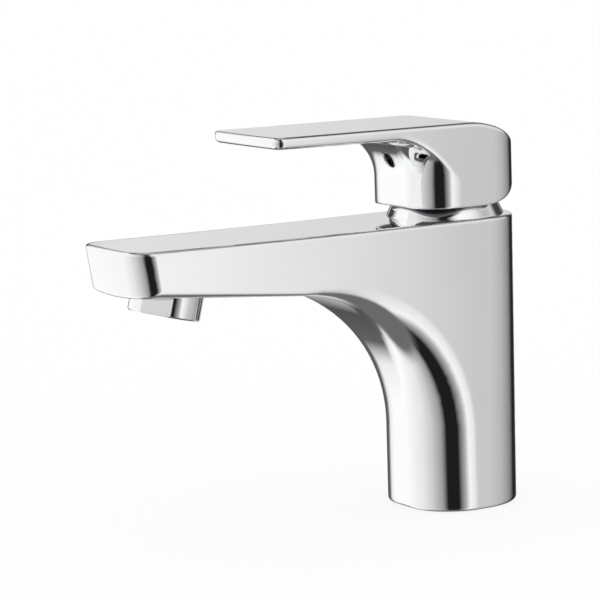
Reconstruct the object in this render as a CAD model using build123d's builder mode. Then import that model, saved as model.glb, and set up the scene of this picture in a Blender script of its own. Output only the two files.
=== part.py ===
from build123d import *
import os
from math import cos, radians, sin, tan

os.makedirs("parts", exist_ok=True)

# Single-lever basin mixer, in millimetres
# +Z is up, the spout points to -Y, and the origin is on the column axis at the deck

# Fits
fit_gap = 0.1  # between pieces pushed or screwed together
run_gap = 0.3  # between pieces that move past each other

# Body casting, outside
base_half = 23.7  # half width of the column on the deck
base_flat = 1.4  # straight run beside a back corner on the deck
neck_half = 22.9  # half width of the column at its top
neck_flat = 5.5  # straight run beside a back corner at the top
body_height = 108.8  # flat top of the column
spout_reach = 144.2  # column axis to the front of the spout
spout_half = 20.9  # half width of the spout's front
spout_draft = 0.7  # growth of that half width if the front ran down to the deck
spout_corner = 8.5  # rounding of the front corners seen from above
spout_bow = 0.8  # bulge of the front
spout_rise = 1.25  # climb of the top from the column to the front
flat_length = 20.0  # level part of the top, in front of the column axis
front_rake = 9.0  # lean of the front face in degrees
column_front = 22.3  # column axis to the front of the column
column_flat = 3.2  # straight run beside a front corner of the column
bend_radius = 58.8  # hollow curve between column and spout
bend_start = 29.5  # height at which that curve begins
underside_slope = 5.65  # climb of the spout's underside in degrees
underside_crown = 2.1  # sag of the underside's middle at the front
spout_edge = 2.0  # rounding along the spout's lower edges where the bend ends
nose_edge = 3.5  # the same rounding at the front
top_edge = 1.0  # rounding round the top face
nose_round = 1.4  # rounding between the front and the underside
foot_edge = 1.2  # rounding round the foot

# Body casting, inside
foot_wall = 5.7  # wall round the open hollow under the column
hollow_height = 44.0
gasket_inset = 3.4  # outside of the foot to the middle of the gasket groove
gasket_width = 2.0
gasket_height = 2.0
port_x = 7.0  # hot and cold ports
port_y = -4.0
port_radius = 3.2
inlet_radius = 4.5  # tapped M10x1 socket of a hose
inlet_depth = 14.0
stud_y = 8.5  # tapped M8 hole of the fixing stud
stud_radius = 3.4
stud_depth = 14.0
chamber_depth = 34.6  # cartridge seat below the flat top
collector_width = 1.9  # ring channel round the cartridge foot
collector_height = 5.0
waterway_half = 11.0  # cored channel from the cartridge to the aerator
waterway_radius = 4.5
waterway_bend_y = -50.0
waterway_bend_z = 94.5

# Aerator
aerator_setback = 24.7  # front of the spout to the aerator where it leaves the spout
aerator_lean = 14.5  # forward lean of the jet in degrees
aerator_radius = 13.0
aerator_drop = 8.8  # part that stands out of the spout
aerator_sunk = 3.2  # part of the collar inside the spout
aerator_thread = 12.0  # radius of the threaded sleeve
aerator_sleeve = 6.0  # length of that sleeve
aerator_flats = 11.7  # axis to a wrench flat
aerator_flat_turn = 45.0  # turn of the flats in degrees
aerator_bore = 10.2
aerator_lip = 1.2  # inward lip that holds the insert
lip_height = 1.6
washer_height = 1.0
washer_width = 2.2
insert_height = 12.3
jet_radius = 0.9
sieve_height = 0.6

# Cartridge stack, from the seat upwards
cartridge_radius = 17.5
barrel_wall = 2.4
base_height = 5.0
pin_height = 2.5  # locating pins below the base
locator_radius = 1.4
locator_x = 13.0
locator_y = -7.0
outlet_y = 7.5
outlet_radius = 4.2
outlet_floor = 1.5
window_half = 4.0
window_height = 2.5
seal_width = 1.4
seal_height = 1.2
disc_height = 4.0
moving_radius = 11.0
moving_height = 4.0
pocket_half = 7.5  # mixing pocket under the moving disc
pocket_length = 12.2
pocket_shift = 2.5
pocket_corner = 5.0
pocket_depth = 2.0
carrier_height = 5.0
tongue_width = 12.0
tongue_length = 14.0
tongue_height = 5.0
ball_depth = 2.5  # ball centre at mid travel below the tongue's top
flange_height = 5.7
tongue_run = 3.5  # free length at each end of the tongue's slot
rotor_radius = 12.0
rotor_proud = 1.3  # rotor above the barrel's neck
barrel_roof = 2.7
neck_wall = 1.95
neck_height = 10.0
pivot_rise = 10.0  # tilt axis above the rotor's flange
pin_radius = 2.0
pin_half = 10.0
stem_slot = 7.2  # half length of the slot for the stem
ring_height = 1.6  # sealing rings of the rotor, the barrel and the dome
ring_depth = 1.2
barrel_ring_rise = 5.0  # groove above the barrel's foot
rotor_ring_rise = 5.0  # groove above the rotor's flange
stem_half = 4.0
stem_length = 31.0  # square stem above the tilt axis
stem_tail = 4.5  # square stem below it
stem_neck = 2.5
ball_radius = 3.2
stem_lean = 12.5  # forward lean of the stem with the water off, in degrees

# Nut and dome ring
nut_wall = 5.3  # inside of the nut to its thread
nut_proud = 3.8
nut_collar = 1.6  # step from the thread to the collar
nut_ring_rise = 1.0
nut_slot_width = 5.0
nut_slot_depth = 2.4
dome_radius = 22.0
dome_wall = 1.1  # wall of the dome ring at its top edge
dome_height = 4.6  # cone of the dome ring
dome_crown = 0.6
dome_lip = 2.2

# Lever handle
head_half = 22.7
head_front = 22.7
head_back = 22.2
head_front_corner = 14.4
head_back_corner = 15.0
head_gap = 4.8  # head above the flat top of the body
head_wall = 2.2
roof_depth = 11.6  # crest of the lever down to the roof of the hollow head
lever_reach = 86.5  # column axis to the lever's tip
lever_corner = 3.5
lever_bow = 0.5
lever_rise = 36.44  # top of the lever's tip above the flat top of the body
tip_thickness = 4.3
crest_drop = 0.84  # fall of the lever's top from the tip to the crest
crest_y = -3.6
crest_radius = 35.0
crest_sweep = 55.0  # sweep of the crest's curve in degrees
root_depth = 4.2  # crest down to the underside at the root
flare_radius = 16.5
heel_start = 3.0  # the head's bottom curves up behind this
heel_radius = 24.0
lever_edge = 1.0  # rounding round the lever's top
lever_under = 2.0  # rounding along its lower edges and down the flare
rim_stop = 3.0  # foot of the flare up to the end of that rounding
socket_start = 9.0  # stem socket, measured along the stem from the tilt axis
socket_wall = 3.0
socket_end = 29.0
grub_rise = 27.4  # grub screw along the stem from the tilt axis
grub_radius = 3.0
grub_boss = 6.0
grub_boss_end = 16.5
grub_length = 8.0
grub_key = 3.0  # across the flats of the hex socket
grub_key_depth = 3.5

# Derived heights of the stack
seat_z = body_height - chamber_depth
disc_z = seat_z + base_height
moving_z = disc_z + disc_height
carrier_z = moving_z + moving_height
tongue_z = carrier_z + carrier_height
tongue_top = tongue_z + tongue_height
rotor_z = tongue_z + run_gap
flange_top = rotor_z + flange_height
barrel_ceiling = flange_top + run_gap
shoulder_z = barrel_ceiling + barrel_roof
neck_top = shoulder_z + neck_height
rotor_top = neck_top + rotor_proud
pivot_z = flange_top + pivot_rise
nut_top = body_height + nut_proud
dome_edge_z = body_height + dome_height
dome_top = dome_edge_z + dome_crown

# Derived radii of the stack
barrel_inner = cartridge_radius - barrel_wall
disc_radius = barrel_inner - run_gap
neck_inner = rotor_radius + 0.25
neck_outer = neck_inner + neck_wall
chamber_radius = cartridge_radius + 0.2
nut_inner = neck_outer + run_gap
thread_radius = nut_inner + nut_wall
collar_radius = thread_radius - nut_collar
dome_inner = collar_radius + 0.5
dome_edge_radius = dome_inner + dome_wall
carrier_radius = moving_radius + 0.2

# Derived motion of the stem
lean = radians(stem_lean)
ball_arm = pivot_z - (tongue_top - ball_depth)
disc_shift = ball_arm * sin(lean)
stem_plane = Plane(origin=(0, 0, pivot_z), x_dir=(1, 0, 0), z_dir=(0, -sin(lean), cos(lean)))
grub_plane = Plane(
    origin=(0, -grub_rise * sin(lean), pivot_z + grub_rise * cos(lean)),
    x_dir=(1, 0, 0),
    z_dir=(0, -cos(lean), -sin(lean)),
)
ports = (("hot", -port_x), ("cold", port_x))

# Body casting: the outline from above, drawn at the deck and at the top
roof_z = body_height + spout_rise
spout_front = spout_reach - spout_bow
base_front = spout_front - roof_z * tan(radians(front_rake))
base_front_half = spout_half + spout_draft
base_taper = (base_half - base_front_half) / base_front
neck_taper = (neck_half - spout_half) / spout_front
base_corner = base_half - base_flat
neck_corner = neck_half - neck_flat
column_edge = column_front - column_flat
hollow_radius = base_half - foot_wall
gasket_radius = base_half - gasket_inset
aerator_reach = spout_reach - aerator_setback
bend_end = 90.0 - underside_slope
bend_y = -column_front - bend_radius
skin = 0.08  # the bend's sides stand this far outside the outline
section_depth = 80.0
cut_room = 10.0  # how far a cutting block reaches past the work


def body_outline(height, half, corner, front, front_half):
    back_half = half + (half - front_half) * half / front
    with BuildSketch(Plane.XY.offset(height)) as outline:
        with BuildLine():
            Polyline((front_half, -front), (back_half, half), (-back_half, half), (-front_half, -front))
            ThreePointArc((-front_half, -front), (0, -front - spout_bow), (front_half, -front))
        make_face()
        fillet(outline.vertices().group_by(Axis.Y)[-1], corner)
        fillet(outline.vertices().group_by(Axis.Y)[0], spout_corner)
    return outline.sketch


def side_half(y, z):
    low = base_half + base_taper * y
    high = neck_half + neck_taper * y
    return low + (high - low) * z / roof_z


def bend_plane(angle):
    turn = radians(angle)
    return Plane(
        origin=(0, bend_y + bend_radius * cos(turn), bend_start + bend_radius * sin(turn)),
        x_dir=(1, 0, 0),
        z_dir=(0, -sin(turn), cos(turn)),
    )


def bend_edge(angle):
    return spout_edge + (column_edge - spout_edge) * (1 - (angle / bend_end) ** 2) ** 1.3


def bend_section(plane, edge, crown=0):
    near = plane.from_local_coords(Vector(0, 0, 0))
    far = plane.from_local_coords(Vector(0, section_depth, 0))
    near_half = side_half(near.Y, near.Z) + skin
    far_half = side_half(far.Y, far.Z) + skin
    with BuildSketch(plane) as section:
        with BuildLine():
            Polyline(
                (near_half, 0),
                (far_half, section_depth),
                (-far_half, section_depth),
                (-near_half, 0),
            )
            if crown:
                ThreePointArc((-near_half, 0), (0, -crown), (near_half, 0))
            else:
                Line((-near_half, 0), (near_half, 0))
        make_face()
        fillet(section.vertices().group_by(Axis.Y)[0], edge)
    return section.sketch


def underside_z(y):
    corner_y = bend_y + bend_radius * cos(radians(bend_end))
    corner_z = bend_start + bend_radius * sin(radians(bend_end))
    return corner_z + (corner_y - y) * tan(radians(underside_slope))


with BuildPart() as bend_block:
    loft(
        sections=[
            bend_section(bend_plane(0).offset(-bend_start), column_edge),
            bend_section(bend_plane(0), column_edge),
        ],
        ruled=True,
    )
    loft(sections=[bend_section(bend_plane(bend_end * n / 6), bend_edge(bend_end * n / 6)) for n in range(7)])
    loft(
        sections=[
            bend_section(bend_plane(bend_end), spout_edge),
            bend_section(bend_plane(bend_end).offset(spout_reach - bend_radius), nose_edge, underside_crown),
        ],
        ruled=True,
    )

aerator_plane = Plane(
    origin=(0, -aerator_reach, underside_z(-aerator_reach)),
    x_dir=(1, 0, 0),
    z_dir=(0, -sin(radians(aerator_lean)), -cos(radians(aerator_lean))),
)
socket_top = aerator_sunk + aerator_sleeve + washer_height
waterway_end = aerator_plane.from_local_coords(Vector(0, 0, -socket_top))
waterway_points = (
    Vector(0, -chamber_radius, seat_z + waterway_radius),
    Vector(0, waterway_bend_y, waterway_bend_z),
    waterway_end,
)

with BuildPart() as faucet_body:
    loft(
        sections=[
            body_outline(0, base_half, base_corner, base_front, base_front_half),
            body_outline(roof_z, neck_half, neck_corner, spout_front, spout_half),
        ],
        ruled=True,
    )
    add(bend_block.part, mode=Mode.INTERSECT)
    with BuildSketch(Plane.YZ):
        with BuildLine():
            Line((2 * base_half, body_height), (-flat_length, body_height))
            TangentArc((-flat_length, body_height), (-spout_reach, roof_z), tangent=(-1, 0))
            Polyline(
                (-spout_reach, roof_z),
                (-spout_reach - cut_room, roof_z),
                (-spout_reach - cut_room, roof_z + cut_room),
                (2 * base_half, roof_z + cut_room),
                (2 * base_half, body_height),
            )
        make_face()
    extrude(amount=2 * base_half, both=True, mode=Mode.SUBTRACT)
    top_faces = faces().sort_by(Axis.Z)[-2:]
    top_rim = [e for e in top_faces.edges() if abs(e.center().Y + flat_length) > 1]
    fillet(top_rim, top_edge)
    nose_front = -aerator_reach - aerator_radius
    nose_top = underside_z(-spout_reach) + nose_edge
    fillet([e for e in edges() if e.center().Y < nose_front and e.center().Z < nose_top], nose_round)
    fillet(edges().group_by(Axis.Z)[0], foot_edge)

    # Hollow, hose sockets, stud hole and gasket groove
    with BuildSketch():
        Circle(hollow_radius)
    extrude(amount=hollow_height, mode=Mode.SUBTRACT)
    with BuildSketch():
        Circle(gasket_radius + gasket_width / 2)
        Circle(gasket_radius - gasket_width / 2, mode=Mode.SUBTRACT)
    extrude(amount=gasket_height, mode=Mode.SUBTRACT)
    with BuildSketch(Plane.XY.offset(hollow_height)):
        with Locations((-port_x, port_y), (port_x, port_y)):
            Circle(inlet_radius)
    extrude(amount=inlet_depth, mode=Mode.SUBTRACT)
    with BuildSketch(Plane.XY.offset(hollow_height)):
        with Locations((-port_x, port_y), (port_x, port_y)):
            Circle(port_radius)
    extrude(amount=seat_z - hollow_height, mode=Mode.SUBTRACT)
    with BuildSketch(Plane.XY.offset(hollow_height)):
        with Locations((0, stud_y)):
            Circle(stud_radius)
    extrude(amount=stud_depth, mode=Mode.SUBTRACT)

    # Cartridge chamber, its collecting channel and the nut's thread bore
    with BuildSketch(Plane.XY.offset(seat_z)):
        Circle(chamber_radius)
    extrude(amount=chamber_depth, mode=Mode.SUBTRACT)
    with BuildSketch(Plane.XY.offset(seat_z)):
        with Locations((-locator_x, locator_y), (locator_x, locator_y)):
            Circle(locator_radius + fit_gap)
    extrude(amount=-pin_height - run_gap, mode=Mode.SUBTRACT)
    with BuildSketch(Plane.XY.offset(seat_z + 1)):
        Circle(chamber_radius + collector_width)
    extrude(amount=collector_height, mode=Mode.SUBTRACT)
    with BuildSketch(Plane.XY.offset(shoulder_z - 0.5)):
        Circle(thread_radius + fit_gap)
    extrude(amount=body_height - shoulder_z + 0.5, mode=Mode.SUBTRACT)

    # Waterway and aerator socket
    for start, end in zip(waterway_points[:-1], waterway_points[1:]):
        with BuildSketch(Plane(origin=start, x_dir=(1, 0, 0), z_dir=end - start)):
            SlotOverall(2 * waterway_half, 2 * waterway_radius)
        extrude(amount=(end - start).length, mode=Mode.SUBTRACT)
    with BuildSketch(Plane.YZ):
        with Locations((waterway_points[1].Y, waterway_points[1].Z)):
            Circle(waterway_radius)
    extrude(amount=waterway_half - waterway_radius, both=True, mode=Mode.SUBTRACT)
    with BuildSketch(aerator_plane.offset(-socket_top)):
        Circle(aerator_thread + fit_gap)
    extrude(amount=socket_top + aerator_drop, mode=Mode.SUBTRACT)
    with BuildSketch(aerator_plane.offset(-aerator_sunk)):
        Circle(aerator_radius + fit_gap)
    extrude(amount=aerator_sunk + aerator_drop, mode=Mode.SUBTRACT)
faucet_body.part.label = "faucet_body"
export_step(faucet_body.part, "parts/faucet_body.step")

# Rubber ring that seals the foot on the deck
with BuildPart() as base_gasket:
    with BuildSketch():
        Circle(gasket_radius + gasket_width / 2 - fit_gap)
        Circle(gasket_radius - gasket_width / 2 + fit_gap, mode=Mode.SUBTRACT)
    extrude(amount=gasket_height)
base_gasket.part.label = "base_gasket"
export_step(base_gasket.part, "parts/base_gasket.step")

# Aerator collar with its threaded sleeve and two wrench flats
insert_seat = aerator_drop - lip_height
with BuildPart() as aerator_housing:
    with BuildSketch(aerator_plane.offset(-aerator_sunk - aerator_sleeve)):
        Circle(aerator_thread)
    extrude(amount=aerator_sleeve + aerator_sunk)
    with BuildSketch(aerator_plane.offset(-aerator_sunk)):
        Circle(aerator_radius)
    extrude(amount=aerator_sunk + aerator_drop)
    chamfer(edges().filter_by(GeomType.CIRCLE).sort_by(Axis.Z)[0], 0.6)
    with BuildSketch(aerator_plane.offset(-aerator_sunk - aerator_sleeve)):
        Circle(aerator_bore)
    extrude(amount=aerator_sleeve + aerator_sunk + insert_seat, mode=Mode.SUBTRACT)
    with BuildSketch(aerator_plane):
        Circle(aerator_bore - aerator_lip)
    extrude(amount=aerator_drop, mode=Mode.SUBTRACT)
    with BuildSketch(aerator_plane):
        with PolarLocations(aerator_flats + aerator_radius / 2, 2, start_angle=aerator_flat_turn):
            Rectangle(aerator_radius, 2 * aerator_radius)
    extrude(amount=aerator_drop, mode=Mode.SUBTRACT)
aerator_housing.part.label = "aerator_housing"
export_step(aerator_housing.part, "parts/aerator_housing.step")

# Flat washer between the sleeve and the spout
with BuildPart() as aerator_gasket:
    with BuildSketch(aerator_plane.offset(-socket_top)):
        Circle(aerator_thread)
        Circle(aerator_thread - washer_width, mode=Mode.SUBTRACT)
    extrude(amount=washer_height)
aerator_gasket.part.label = "aerator_gasket"
export_step(aerator_gasket.part, "parts/aerator_gasket.step")

# Jet former of the aerator
with BuildPart() as aerator_insert:
    with BuildSketch(aerator_plane.offset(insert_seat - insert_height)):
        Circle(aerator_bore - fit_gap)
    extrude(amount=insert_height)
    with BuildSketch(aerator_plane.offset(insert_seat - insert_height)):
        Circle(jet_radius)
        with PolarLocations(3.3, 6):
            Circle(jet_radius)
        with PolarLocations(6.6, 12):
            Circle(jet_radius)
    extrude(amount=insert_height, mode=Mode.SUBTRACT)
aerator_insert.part.label = "aerator_insert"
export_step(aerator_insert.part, "parts/aerator_insert.step")

# Sieve over the jet former
with BuildPart() as aerator_screen:
    with BuildSketch(aerator_plane.offset(insert_seat - insert_height - sieve_height)):
        Circle(aerator_thread - washer_width - run_gap)
    extrude(amount=sieve_height)
aerator_screen.part.label = "aerator_screen"
export_step(aerator_screen.part, "parts/aerator_screen.step")

# Lower cap of the cartridge: two inlets, one outlet with its side window, two pins
with BuildPart() as cartridge_base:
    with BuildSketch(Plane.XY.offset(seat_z)):
        Circle(cartridge_radius)
    extrude(amount=base_height)
    with BuildSketch(Plane.XY.offset(seat_z - pin_height)):
        with Locations((-locator_x, locator_y), (locator_x, locator_y)):
            Circle(locator_radius)
    extrude(amount=pin_height)
    with BuildSketch(Plane.XY.offset(seat_z)):
        with Locations((-port_x, port_y), (port_x, port_y)):
            Circle(port_radius)
    extrude(amount=base_height, mode=Mode.SUBTRACT)
    with BuildSketch(Plane.XY.offset(seat_z)):
        with Locations((-port_x, port_y), (port_x, port_y)):
            Circle(port_radius + fit_gap + seal_width)
    extrude(amount=seal_height, mode=Mode.SUBTRACT)
    with BuildSketch(Plane.XY.offset(disc_z)):
        with Locations((-port_x, port_y), (port_x, port_y)):
            Circle(port_radius + fit_gap + seal_width)
        with Locations((0, outlet_y)):
            Circle(outlet_radius + fit_gap + seal_width)
    extrude(amount=-seal_height, mode=Mode.SUBTRACT)
    with BuildSketch(Plane.XY.offset(seat_z + outlet_floor)):
        with Locations((0, outlet_y)):
            Circle(outlet_radius)
    extrude(amount=base_height, mode=Mode.SUBTRACT)
    with BuildSketch(Plane.XY.offset(seat_z + outlet_floor)):
        with Locations((0, outlet_y + cartridge_radius / 2)):
            Rectangle(2 * window_half, cartridge_radius)
    extrude(amount=window_height - seal_height, mode=Mode.SUBTRACT)
cartridge_base.part.label = "cartridge_base"
export_step(cartridge_base.part, "parts/cartridge_base.step")

# Port seals below and above the cap
for side, x in ports:
    with BuildPart() as base_seal:
        with BuildSketch(Plane.XY.offset(seat_z)):
            with Locations((x, port_y)):
                Circle(port_radius + seal_width)
                Circle(port_radius, mode=Mode.SUBTRACT)
        extrude(amount=seal_height)
    base_seal.part.label = "base_seal_" + side
    export_step(base_seal.part, "parts/base_seal_" + side + ".step")

    with BuildPart() as disc_seal:
        with BuildSketch(Plane.XY.offset(disc_z)):
            with Locations((x, port_y)):
                Circle(port_radius + seal_width)
                Circle(port_radius, mode=Mode.SUBTRACT)
        extrude(amount=-seal_height)
    disc_seal.part.label = "disc_seal_" + side
    export_step(disc_seal.part, "parts/disc_seal_" + side + ".step")

with BuildPart() as disc_seal_outlet:
    with BuildSketch(Plane.XY.offset(disc_z)):
        with Locations((0, outlet_y)):
            Circle(outlet_radius + seal_width)
            Circle(outlet_radius, mode=Mode.SUBTRACT)
    extrude(amount=-seal_height)
disc_seal_outlet.part.label = "disc_seal_outlet"
export_step(disc_seal_outlet.part, "parts/disc_seal_outlet.step")

# Ceramic disc that stands still
with BuildPart() as fixed_disc:
    with BuildSketch(Plane.XY.offset(disc_z)):
        Circle(disc_radius)
        with Locations((-port_x, port_y), (port_x, port_y)):
            Circle(port_radius, mode=Mode.SUBTRACT)
        with Locations((0, outlet_y)):
            Circle(outlet_radius, mode=Mode.SUBTRACT)
    extrude(amount=disc_height)
fixed_disc.part.label = "fixed_disc"
export_step(fixed_disc.part, "parts/fixed_disc.step")

# Ceramic disc that mixes and meters, shown shut
with BuildPart() as moving_disc:
    with BuildSketch(Plane.XY.offset(moving_z)):
        with Locations((0, disc_shift)):
            Circle(moving_radius)
    extrude(amount=moving_height)
    with BuildSketch(Plane.XY.offset(moving_z)):
        with Locations((0, disc_shift + pocket_shift)):
            RectangleRounded(2 * pocket_half, pocket_length, pocket_corner)
    extrude(amount=pocket_depth, mode=Mode.SUBTRACT)
moving_disc.part.label = "moving_disc"
export_step(moving_disc.part, "parts/moving_disc.step")

# Carrier on the moving disc, with a tongue that the rotor guides and a pocket for the ball
with BuildPart() as disc_carrier:
    with BuildSketch(Plane.XY.offset(carrier_z)):
        with Locations((0, disc_shift)):
            Circle(carrier_radius)
    extrude(amount=carrier_height)
    with BuildSketch(Plane.XY.offset(tongue_z)):
        with Locations((0, disc_shift)):
            Rectangle(tongue_width, tongue_length)
    extrude(amount=tongue_height)
    with BuildSketch(Plane.XY.offset(tongue_top)):
        with Locations((0, disc_shift)):
            Circle(ball_radius + fit_gap)
    extrude(amount=-ball_depth - ball_radius - 1, mode=Mode.SUBTRACT)
disc_carrier.part.label = "disc_carrier"
export_step(disc_carrier.part, "parts/disc_carrier.step")

# Cartridge barrel with its neck
with BuildPart() as cartridge_housing:
    with BuildSketch(Plane.XY.offset(disc_z)):
        Circle(cartridge_radius)
    extrude(amount=shoulder_z - disc_z)
    with BuildSketch(Plane.XY.offset(shoulder_z)):
        Circle(neck_outer)
    extrude(amount=neck_height)
    with BuildSketch(Plane.XY.offset(disc_z)):
        Circle(barrel_inner)
    extrude(amount=barrel_ceiling - disc_z, mode=Mode.SUBTRACT)
    with BuildSketch(Plane.XY.offset(disc_z)):
        Circle(neck_inner)
    extrude(amount=neck_top - disc_z, mode=Mode.SUBTRACT)
    with BuildSketch(Plane.XY.offset(disc_z + barrel_ring_rise)):
        Circle(cartridge_radius + 1)
        Circle(cartridge_radius - ring_depth, mode=Mode.SUBTRACT)
    extrude(amount=ring_height + fit_gap, mode=Mode.SUBTRACT)
cartridge_housing.part.label = "cartridge_housing"
export_step(cartridge_housing.part, "parts/cartridge_housing.step")

# Sealing ring round the barrel
with BuildPart() as cartridge_o_ring:
    with BuildSketch(Plane.XY.offset(disc_z + barrel_ring_rise)):
        Circle(chamber_radius - 0.05)
        Circle(cartridge_radius - ring_depth, mode=Mode.SUBTRACT)
    extrude(amount=ring_height)
cartridge_o_ring.part.label = "cartridge_o_ring"
export_step(cartridge_o_ring.part, "parts/cartridge_o_ring.step")

# Rotor that guides the stem and turns the discs
with BuildPart() as stem_rotor:
    with BuildSketch(Plane.XY.offset(rotor_z)):
        Circle(disc_radius)
    extrude(amount=flange_height)
    with BuildSketch(Plane.XY.offset(flange_top)):
        Circle(rotor_radius)
    extrude(amount=rotor_top - flange_top)
    with BuildSketch(Plane.XY.offset(rotor_z)):
        Rectangle(tongue_width + run_gap, tongue_length + 2 * tongue_run)
    extrude(amount=tongue_height, mode=Mode.SUBTRACT)
    with BuildSketch(Plane.XY.offset(rotor_z)):
        Rectangle(2 * stem_half + run_gap, 2 * stem_slot)
    extrude(amount=rotor_top - rotor_z, mode=Mode.SUBTRACT)
    with BuildSketch(Plane.YZ):
        with Locations((0, pivot_z)):
            Circle(pin_radius + 0.03)
    extrude(amount=rotor_radius, both=True, mode=Mode.SUBTRACT)
    with BuildSketch(Plane.XY.offset(flange_top + rotor_ring_rise - ring_height)):
        Circle(rotor_radius + 1)
        Circle(rotor_radius - ring_depth, mode=Mode.SUBTRACT)
    extrude(amount=ring_height + fit_gap, mode=Mode.SUBTRACT)
stem_rotor.part.label = "stem_rotor"
export_step(stem_rotor.part, "parts/stem_rotor.step")

# Sealing ring round the rotor
with BuildPart() as rotor_o_ring:
    with BuildSketch(Plane.XY.offset(flange_top + rotor_ring_rise - ring_height)):
        Circle(neck_inner - 0.05)
        Circle(rotor_radius - ring_depth, mode=Mode.SUBTRACT)
    extrude(amount=ring_height)
rotor_o_ring.part.label = "rotor_o_ring"
export_step(rotor_o_ring.part, "parts/rotor_o_ring.step")

# Steel pin on which the stem tilts
with BuildPart() as stem_pin:
    with BuildSketch(Plane.YZ):
        with Locations((0, pivot_z)):
            Circle(pin_radius)
    extrude(amount=pin_half, both=True)
stem_pin.part.label = "stem_pin"
export_step(stem_pin.part, "parts/stem_pin.step")

# Square stem with its neck and ball
with BuildPart() as cartridge_stem:
    with BuildSketch(stem_plane.offset(-stem_tail)):
        Rectangle(2 * stem_half, 2 * stem_half)
    extrude(amount=stem_tail + stem_length)
    chamfer(faces().sort_by(Axis.Z)[-1].edges(), 0.6)
    with BuildSketch(stem_plane.offset(-ball_arm)):
        Circle(stem_neck)
    extrude(amount=ball_arm - stem_tail)
    with Locations(stem_plane.from_local_coords(Vector(0, 0, -ball_arm))):
        Sphere(ball_radius)
    with BuildSketch(Plane.YZ):
        with Locations((0, pivot_z)):
            Circle(pin_radius + 0.03)
    extrude(amount=2 * stem_half, both=True, mode=Mode.SUBTRACT)
cartridge_stem.part.label = "cartridge_stem"
export_step(cartridge_stem.part, "parts/cartridge_stem.step")

# Nut that holds the cartridge down
nut_groove_z = body_height + nut_ring_rise
with BuildPart() as retaining_nut:
    with BuildSketch(Plane.XY.offset(shoulder_z)):
        Circle(thread_radius)
    extrude(amount=body_height - shoulder_z)
    with BuildSketch(Plane.XY.offset(body_height)):
        Circle(collar_radius)
    extrude(amount=nut_proud)
    with BuildSketch(Plane.XY.offset(shoulder_z)):
        Circle(nut_inner)
    extrude(amount=nut_top - shoulder_z, mode=Mode.SUBTRACT)
    with BuildSketch(Plane.XY.offset(nut_groove_z)):
        Circle(collar_radius + 1)
        Circle(collar_radius - ring_depth, mode=Mode.SUBTRACT)
    extrude(amount=ring_height + fit_gap, mode=Mode.SUBTRACT)
    with BuildSketch(Plane.XY.offset(nut_top)):
        with PolarLocations(nut_inner, 4):
            Rectangle(2 * nut_slot_depth - fit_gap, nut_slot_width)
    extrude(amount=-nut_slot_depth, mode=Mode.SUBTRACT)
retaining_nut.part.label = "retaining_nut"
export_step(retaining_nut.part, "parts/retaining_nut.step")

# Ring that grips the dome on the nut
with BuildPart() as dome_o_ring:
    with BuildSketch(Plane.XY.offset(nut_groove_z)):
        Circle(dome_inner - 0.05)
        Circle(collar_radius - ring_depth, mode=Mode.SUBTRACT)
    extrude(amount=ring_height)
dome_o_ring.part.label = "dome_o_ring"
export_step(dome_o_ring.part, "parts/dome_o_ring.step")

# Dome ring that covers the nut
with BuildPart() as dome_ring:
    with BuildSketch(Plane.XZ):
        with BuildLine():
            Polyline(
                (dome_inner, body_height),
                (dome_radius, body_height),
                (dome_edge_radius, dome_edge_z),
                (dome_edge_radius - 0.8, dome_top),
                (dome_inner - dome_lip, dome_top),
                (dome_inner - dome_lip, nut_top + run_gap),
                (dome_inner, nut_top + run_gap),
                close=True,
            )
        make_face()
    revolve(axis=Axis.Z)
dome_ring.part.label = "dome_ring"
export_step(dome_ring.part, "parts/dome_ring.step")

# Lever handle: heights and outline from above
head_z = body_height + head_gap
lever_top_tip = body_height + lever_rise
lever_top_crest = lever_top_tip - crest_drop
lever_bottom_tip = lever_top_tip - tip_thickness
lever_bottom_root = lever_top_crest - root_depth
head_roof = lever_top_crest - roof_depth
blank_top = lever_top_tip + cut_room
with BuildPart() as handle_plan:
    with BuildSketch(Plane.XY.offset(body_height)) as handle_outline:
        with BuildLine():
            Polyline(
                (head_half, lever_bow - lever_reach),
                (head_half, head_back),
                (-head_half, head_back),
                (-head_half, lever_bow - lever_reach),
            )
            ThreePointArc(
                (-head_half, lever_bow - lever_reach), (0, -lever_reach), (head_half, lever_bow - lever_reach)
            )
        make_face()
        fillet(handle_outline.vertices().group_by(Axis.Y)[-1], head_back_corner)
        fillet(handle_outline.vertices().group_by(Axis.Y)[0], lever_corner)
    extrude(amount=blank_top - body_height)

# Head with the flare that carries the lever
corner_x = head_half - head_front_corner
corner_y = head_front_corner - head_front
flare_z = lever_bottom_root - flare_radius
rim_plane = Plane.XY.offset(flare_z + rim_stop)
crest_turn = radians(crest_sweep)
crest_end = (crest_y + crest_radius * sin(crest_turn), lever_top_crest - crest_radius * (1 - cos(crest_turn)))
flare_end = head_front_corner + flare_radius
flare_profile = (
    (0, head_z),
    (head_front_corner, head_z),
    (head_front_corner, flare_z),
    (flare_end, lever_bottom_root),
    (flare_end, lever_bottom_root + 1),
    (0, lever_bottom_root + 1),
    (0, head_z),
)


def flare_face(plane):
    middle = (
        flare_end - flare_radius * cos(radians(45)),
        flare_z + flare_radius * sin(radians(45)),
    )
    with BuildSketch(plane) as face:
        with BuildLine():
            Polyline(*flare_profile[:3])
            ThreePointArc(flare_profile[2], middle, flare_profile[3])
            Polyline(*flare_profile[3:])
        make_face()
    return face.sketch


def on_lower_rim(middle):
    on_flank = rim_plane.origin.Z + fit_gap < middle.Z < lever_bottom_tip
    on_side = abs(abs(middle.X) - head_half) < fit_gap and on_flank
    on_tip = middle.Y < lever_corner - lever_reach and abs(middle.Z - lever_bottom_tip) < fit_gap
    return on_side or on_tip


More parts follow.
